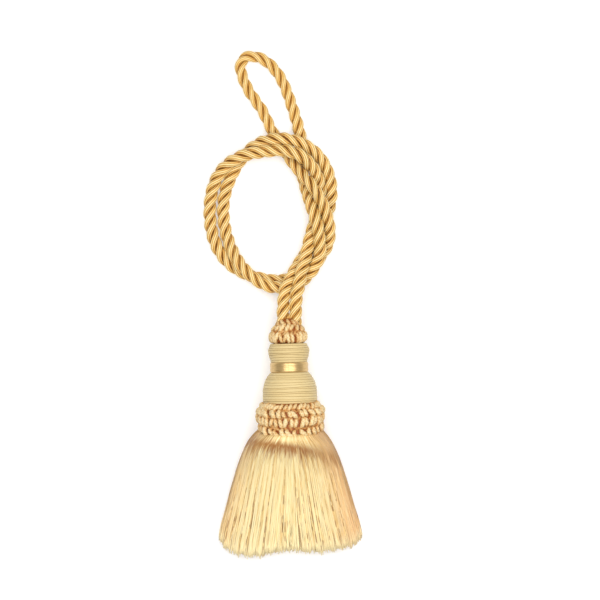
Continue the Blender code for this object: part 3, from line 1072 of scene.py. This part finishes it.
def even_turns(count):
    """count turns that lie evenly along the section near the hem."""
    fine = np.linspace(0.0, FULL_TURN, EVEN_SAMPLES)
    section = skirt_points(np.full(fine.shape, EVEN_FALL), fine, 0.0)
    section[:, 2] = np.maximum(section[:, 2], 0.0)
    step = np.linalg.norm(np.diff(section, axis=0), axis=1)
    gone = np.concatenate(([0.0], np.cumsum(step)))
    return np.interp((np.arange(count) + 0.5) / count * gone[-1], gone, fine)


# %% [markdown]
# ### How a yarn lies
#
# Cut yarn never hangs quite straight.  It gathers into locks, each a low ridge with a
# seam on either side, and single yarns stray over their neighbours.  The hem was cut
# before the tassel was handled, so it waves a little and single yarns stick out of it.

# %% Yarns
YARN_RADIUS = 0.38
YARN_SIDES = 4
YARN_FALLS = np.array(
    [0.0, 0.02, 0.04, 0.065, 0.095, 0.13, 0.18, 0.25, 0.34, 0.44, 0.55, 0.66, 0.77, 0.87, 0.95, 1.0]
)
YARN_LOWEST = YARN_RADIUS + 0.02    # a yarn's middle comes no nearer to the table
LOCKS = 43               # how many locks the yarns gather into round the hem
LOCK_LEAN = 0.011        # radians that a yarn leans towards the seam beside its lock
LOCK_RISE = 0.35         # how much higher a lock's middle lies, and its seams lower
OWN_RISE = 0.35          # how far a single yarn rises and sinks
HEM_WAVES = 31.0         # waves round the hem
HEM_WAVE = 0.8           # how much a wave lengthens and shortens the yarns
UNDER_SHORTER = 1.8      # how much shorter the yarns underneath are
TIP_THINNING = 0.15      # the share of its thickness that a yarn loses at its tip
HEART_DEPTH = 14.0       # how far under the top the line lies that yarns face away from
HEART_SHARE = 0.6        # how far out sideways it lies, in shares of the yarn's own way
ACROSS_POWER = 0.72      # makes the streaks evenly wide right across the skirt


def yarn_rings(turns, depth, stray, cut, falls=YARN_FALLS):
    """One layer of yarns as thin tubes, with what their points carry.

    A yarn keeps its turn but for two things.  It leans towards the seam beside its lock,
    by LOCK_LEAN fall sin lock, and it strays by stray fall sin(5 fall), with a smaller
    and quicker wave on top.  It sinks by its own slow wave and rises by LOCK_RISE fall
    cos lock.  cut is the least and the most that it is longer than the skirt there,
    shared out by the cube of a random number, so that most yarns are near the least.
    """
    count = len(turns)
    fall = np.broadcast_to(falls, (count, len(falls)))
    phase = rng.uniform(0.0, FULL_TURN, (6, count, 1))    # only the first three are used
    size = rng.uniform(0.3, 1.0, (3, count, 1))
    least, most = cut
    longer = least + (most - least) * rng.uniform(0.0, 1.0, (count, 1)) ** 3
    under = np.minimum(np.sin(turns), 0.0)
    longer = longer + (HEM_WAVE * np.sin(HEM_WAVES * turns) + UNDER_SHORTER * under)[:, None]
    lock = (LOCKS * turns + 2.0 * np.sin(3.0 * turns))[:, None]
    wander = stray * fall * size[0] * np.sin(5.0 * fall + phase[0])
    wander = wander + 0.4 * stray * fall * size[1] * np.sin(13.0 * fall + phase[1])
    turn = turns[:, None] + LOCK_LEAN * np.sin(lock) * fall + wander
    own = OWN_RISE * size[2] * np.sin(9.0 * fall + phase[2]) * np.minimum(6.0 * fall, 1.0)
    sunk = depth + own - LOCK_RISE * np.cos(lock) * fall
    middle = skirt_points(fall, turn, sunk, longer)
    middle[..., 2] = np.maximum(middle[..., 2], YARN_LOWEST)
    heart = skirt_points(fall, np.full(fall.shape, 0.5 * np.pi), sunk + HEART_DEPTH, longer)
    heart[..., 0] = HEART_SHARE * middle[..., 0]
    thinned = 1.0 - TIP_THINNING * smooth_step(0.9, 1.0, fall)
    radius = YARN_RADIUS * thinned * (0.8 + 0.4 * size[1])
    even = np.arange(YARN_SIDES) * FULL_TURN / YARN_SIDES
    rings, _ = tube_rings(middle, unit(middle - heart), radius, even, 2, 0.0 * fall, 0.0)
    across = np.sign(np.cos(turn)) * np.abs(np.cos(turn)) ** ACROSS_POWER
    cluster = 0.5 + 0.5 * np.sin(LOCKS * 1.7 * turns + 3.0 * np.sin(2.0 * turns))
    tone = 0.7 * (1.0 - rng.uniform(0.0, 1.0, count) ** 2.5) + 0.3 * cluster
    return rings, {
        "fall": fall[..., None],
        "tone": tone[:, None, None],
        "deep": (depth + 0.0 * fall)[..., None],
        "side": np.cos(turn)[..., None],
        "across": across[..., None],
        "turn": turns[:, None, None],
    }


# %% [markdown]
# ### The skirt's pale gold
#
# Real yarn is far finer than a tube can be here, so streaks in the colour stand for the
# threads in between: wide ones by the place across the skirt, fine ones by the turn.
# The depth counts as well, so that the layers below don't repeat the ones above.  Where the yarns
# bend over the collar's edge they turn their sides to the eye, and a brown band of painted shade
# stands for that; the cut ends at the hem scatter light, and a cream painted highlight stands for
# that.  Deeper yarns, both sides and both edges get painted shade as well, and short dark dashes of
# painted shadow stand for gaps between yarns.

# %% The skirt's finish
SKIRT_GOLDS = (
    # tone, colour
    (0.00, (0.20, 0.095, 0.025)),
    (0.28, (0.46, 0.25, 0.08)),
    (0.50, (0.72, 0.47, 0.18)),
    (0.75, (0.86, 0.66, 0.30)),
    (1.00, (0.93, 0.79, 0.45)),
)
# Painted shade at the sides, along the bend, beside the collar, along the edges, in the gaps and
# deep in the hem, and a painted highlight on the cut ends.
ROSY_SIDE_SHADE = (0.78, 0.44, 0.185)      # at both sides, where the skirt turns away
BEND_SHADE_BROWN = (0.41, 0.175, 0.045)    # where the yarns bend over
SHADED_TAN = (0.52, 0.30, 0.11)      # beside the collar
RIM_SHADE_BROWN = (0.36, 0.19, 0.06)       # along the two outer edges
GAP_SHADOW_BROWN = (0.30, 0.12, 0.035)      # short dashes, where a gap opens between yarns
HEM_SHADE_ORANGE = (0.80, 0.46, 0.15)      # deep in the hem
CUT_END_HIGHLIGHT = (0.97, 0.83, 0.49)       # the cut ends

DEEP_FROM_TO = (0.3, 2.8)    # mm under the surface: from no depth to full depth
LOCK_STREAKS = (22.0, 1.3)   # how often a streak comes, across the skirt and down it
TUFT_STREAKS = (11.0, 2.0)
FINE_STREAKS = (28.0, 2.0)   # the same, but round by the turn and down
GAP_DASHES = (80.0, 4.0)
STREAK_SCALE = 3.0


def streaks(finish, sideways, fall, deep, often, detail=2.0):
    """Noise drawn out into streaks that run down the yarns, from -0.5 to 0.5."""
    many, down = often
    place = finish.place(sideways * many, fall * down, deep)
    return finish.noise(place, STREAK_SCALE, detail) - 0.5


def skirt_finish():
    """Pale gold rayon: straw in the light, with painted shade in tan between yarns and in brown
    where it bends.

    The level on the ramp is 0.84, plus what each yarn, lock and streak adds, less the painted shade
    of the depth and less what the shade near the collar and at the edges takes away.  Seven fixed
    colours are then mixed in, one after another: painted shade at the sides, along the bend, beside
    the collar, along the edges, in the gaps and deep in the hem, and a painted highlight on the cut
    ends.
    """
    finish = Finish("skirt_yarn", Roughness=0.40)
    fall, tone, side, turn, across, deep = (
        finish.carried(name) for name in ("fall", "tone", "side", "turn", "across", "deep")
    )
    deep = deep.between(*DEEP_FROM_TO)
    edge = side * side
    right = side.between(0.10, 0.85)
    lock = streaks(finish, across, fall, deep, LOCK_STREAKS)
    tuft = streaks(finish, across, fall, deep, TUFT_STREAKS)
    fine = streaks(finish, turn, fall, deep, FINE_STREAKS)

    # Each yarn's own tone, streaks that are strongest high up at the sides, and a little painted
    # shade towards both edges.
    level = 0.84 + (tone - 0.5) * 0.62 + lock * 0.54
    level = level + fine * (0.95 + right * 0.7 + edge * (1.0 - fall) * 0.8)
    level = level - edge * edge * 0.06
    # Painted shade on the deep yarns, but not on their ends, and all yarns are paler at the hem, as
    # a painted highlight.
    level = level - deep * (1.0 - fall.between(0.90, 1.0)) * 0.42 + fall.between(0.86, 1.0) * 0.24
    # A patchy shade just below the collar, and a slight one along both edges.
    level = level - (1.0 - fall.between(0.02, 0.14)) * (0.26 - tuft * 1.8)
    level = level - edge.between(0.70, 1.0) * (1.0 - fall.between(0.85, 1.0)) * 0.14

    # Painted shade, rosy, on both sides where the skirt turns away from the light.
    rosy_shade = side.between(0.30, 1.0) * 0.9 + side.between(-0.60, -1.0) * 0.5
    # The brown band of painted shade runs down from where the yarns bend, lower at the right.
    over = fall - (0.090 + side * 0.075 + edge * 0.045 + fine * 0.08 + tuft * 0.14)
    reach = 0.13 + right * 0.09 + tuft * 0.3 + lock * 0.35
    bent = over.between(-0.05 - right * 0.07, 0.01 + right * 0.02)
    bent = bent * (1.0 - over.between(0.0, reach))
    bent = bent * (1.0 + fine * (1.0 + right * 2.2) + tuft * 1.2) * (1.0 - right * 0.38)
    # Shade on the left shoulder, and a smaller speckled one on the right.
    shaded = side.between(-0.35, -0.8) * (1.0 - fall.between(0.08, 0.5)) * (0.20 + tuft * 3.4)
    speckled = 0.25 + tuft * 2.0 + fine * 1.4
    shaded = shaded + side.between(0.30, 0.85) * (1.0 - fall.between(0.08, 0.36)) * speckled
    # Painted shade along the two outer edges.
    rim_shade = edge.between(0.88, 0.98) * (1.0 - fall.between(0.60, 0.95)) * 0.5
    # Dark dashes of painted shadow, where gaps open between the dullest yarns.
    dull = 1.0 - (tone - edge * 0.12 - right * 0.12).between(0.26, 0.40)
    broken = streaks(finish, turn, fall, 0.0, GAP_DASHES, detail=0.0).between(-0.04, 0.04)
    gap = broken * dull * fall.between(0.2, 0.6) * (1.0 - fall.between(0.94, 0.99)) * 0.75

    gold = finish.ramp(level, SKIRT_GOLDS)
    for share, colour in (
        (rosy_shade * tone, ROSY_SIDE_SHADE),
        (bent, BEND_SHADE_BROWN),
        (shaded, SHADED_TAN),
        (rim_shade, RIM_SHADE_BROWN),
        (gap, GAP_SHADOW_BROWN),
        # Painted warm shade on the deep yarns in the hem, where light bounces between yarns.
        (deep * fall.between(0.86, 0.95) * 0.6, HEM_SHADE_ORANGE),
        # A painted highlight in cream on the cut ends.
        (fall.between(0.88, 1.0) * (0.6 - 0.6 * deep), CUT_END_HIGHLIGHT),
    ):
        gold = finish.mix(share, gold, colour)
    finish.colour(gold)
    return finish.material


# %% [markdown]
# ### Core, layers and stubs
#
# Three layers of long yarns lie over the core, the top one the tidiest.  Under them
# short stubs fill the hem's face, where a real skirt shows thousands of cut ends.

# %% Make the skirt
SKIRT_SEED = 12          # how the yarns happen to lie
skirt_yarn = skirt_finish()
rng = np.random.default_rng(SKIRT_SEED)


def skirt_piece(name, rings, values):
    """One layer of the skirt, placed."""
    return place_piece(yarn_piece(name, rings, skirt_yarn, values), "skirt_yarn", "skirt")


INNER_DEPTH = 2.6        # how far the core lies under the skirt's surface
INNER_LAST_FALL = 0.91   # it ends short of the hem
INNER_LOWEST = 0.3
INNER_RINGS = 40
INNER_AROUND = 160
# The skirt's core gets painted shade at full depth.
INNER_VALUES = {"fall": 0.5, "tone": 0.5, "deep": 3.0, "side": 0.0, "across": 0.0, "turn": 0.0}

falls = np.linspace(0.0, INNER_LAST_FALL, INNER_RINGS)[:, None]
turns = np.arange(INNER_AROUND) * FULL_TURN / INNER_AROUND
inner = skirt_points(falls + 0.0 * turns, turns + 0.0 * falls, INNER_DEPTH)[None]
inner[..., 2] = np.maximum(inner[..., 2], INNER_LOWEST)
skirt_piece("skirt_core", inner, INNER_VALUES)

LAYERS = (
    # name, yarns, depth, stray, and the least and the most that a yarn is longer
    ("skirt_top", 700, 0.4, 0.009, -1.2, 2.2),
    ("skirt_second", 700, 1.1, 0.013, -1.8, 1.4),
    ("skirt_third", 660, 1.9, 0.015, -2.4, 0.4),
)
UNEVEN = 0.4             # how far a yarn is off its even place, in shares of the spacing

for name, count, depth, stray, shortest, longest in LAYERS:
    turns = even_turns(count) + rng.uniform(-UNEVEN, UNEVEN, count) * FULL_TURN / count
    skirt_piece(name, *yarn_rings(turns, depth, stray, (shortest, longest)))

# %% Make the cut ends in the hem's face
STUBS = 2600
STUB_DEPTHS = (2.0, 9.0)    # mm under the surface
STUB_STRAY = 0.005
STUB_CUT = (-2.6, 0.0)      # mm longer than the skirt: the least and the most
STUB_FALLS = np.array([0.86, 0.94, 1.0])

turns = even_turns(STUBS)[rng.permutation(STUBS)]
stub_depth = rng.uniform(*STUB_DEPTHS, (STUBS, 1))
skirt_piece("skirt_stubs", *yarn_rings(turns, stub_depth, STUB_STRAY, STUB_CUT, STUB_FALLS))

# %% [markdown]
# ## The table and the light
#
# A pale table and wide soft light leave hardly any shadow.  A big soft box overhead
# gives silk its bright bands, and the dimmer room round it gives the darker ones.

# %% Table
TABLE_SIZE = 6.0         # metres
TABLE_GREY = (0.78, 0.78, 0.78, 1.0)
TABLE_GLOW = 0.26        # a little light of its own, so that no shadow goes dark


def table():
    """A wide pale sheet under the yarn that rests on it."""
    mesh = bpy.data.meshes.new("table")
    half = 0.5 * TABLE_SIZE
    corners = [(-half, -half, 0.0), (half, -half, 0.0), (half, half, 0.0), (-half, half, 0.0)]
    mesh.from_pydata(corners, [], [(0, 1, 2, 3)])
    finish = Finish(
        "table_top",
        Roughness=0.8,
        Base_Color=TABLE_GREY,
        Emission_Color=(1.0, 1.0, 1.0, 1.0),
        Emission_Strength=TABLE_GLOW,
    )
    mesh.materials.append(finish.material)
    sheet = bpy.data.objects.new("table", mesh)
    bpy.context.scene.collection.objects.link(sheet)


table()
print(f"the table is {TABLE_SIZE} m wide")

# %% Light
BOX_PLACE = (0.12, 0.20, 1.6)    # metres
BOX_SIZE = 1.9                   # metres
BOX_POWER = 42.0                 # watts
ROOM_COLOUR = (1.0, 0.985, 0.96, 1.0)
ROOM_STRENGTH = 0.22


def soft_box(name, place, size, power):
    """A square lamp that shines straight down: place and size in metres."""
    data = bpy.data.lights.new(name, "AREA")
    data.shape = "SQUARE"
    data.size = size
    data.energy = power
    lamp = bpy.data.objects.new(name, data)
    lamp.location = place
    bpy.context.scene.collection.objects.link(lamp)


def room_light(colour, strength):
    """Even light from all round."""
    world = bpy.data.worlds.new("room")
    world.use_nodes = True
    background = world.node_tree.nodes["Background"]
    background.inputs["Color"].default_value = colour
    background.inputs["Strength"].default_value = strength
    bpy.context.scene.world = world


soft_box("overhead", BOX_PLACE, BOX_SIZE, BOX_POWER)
room_light(ROOM_COLOUR, ROOM_STRENGTH)
bpy.context.scene.view_settings.view_transform = "Standard"
print(f"the soft box gives {BOX_POWER} W, the room {ROOM_STRENGTH}")
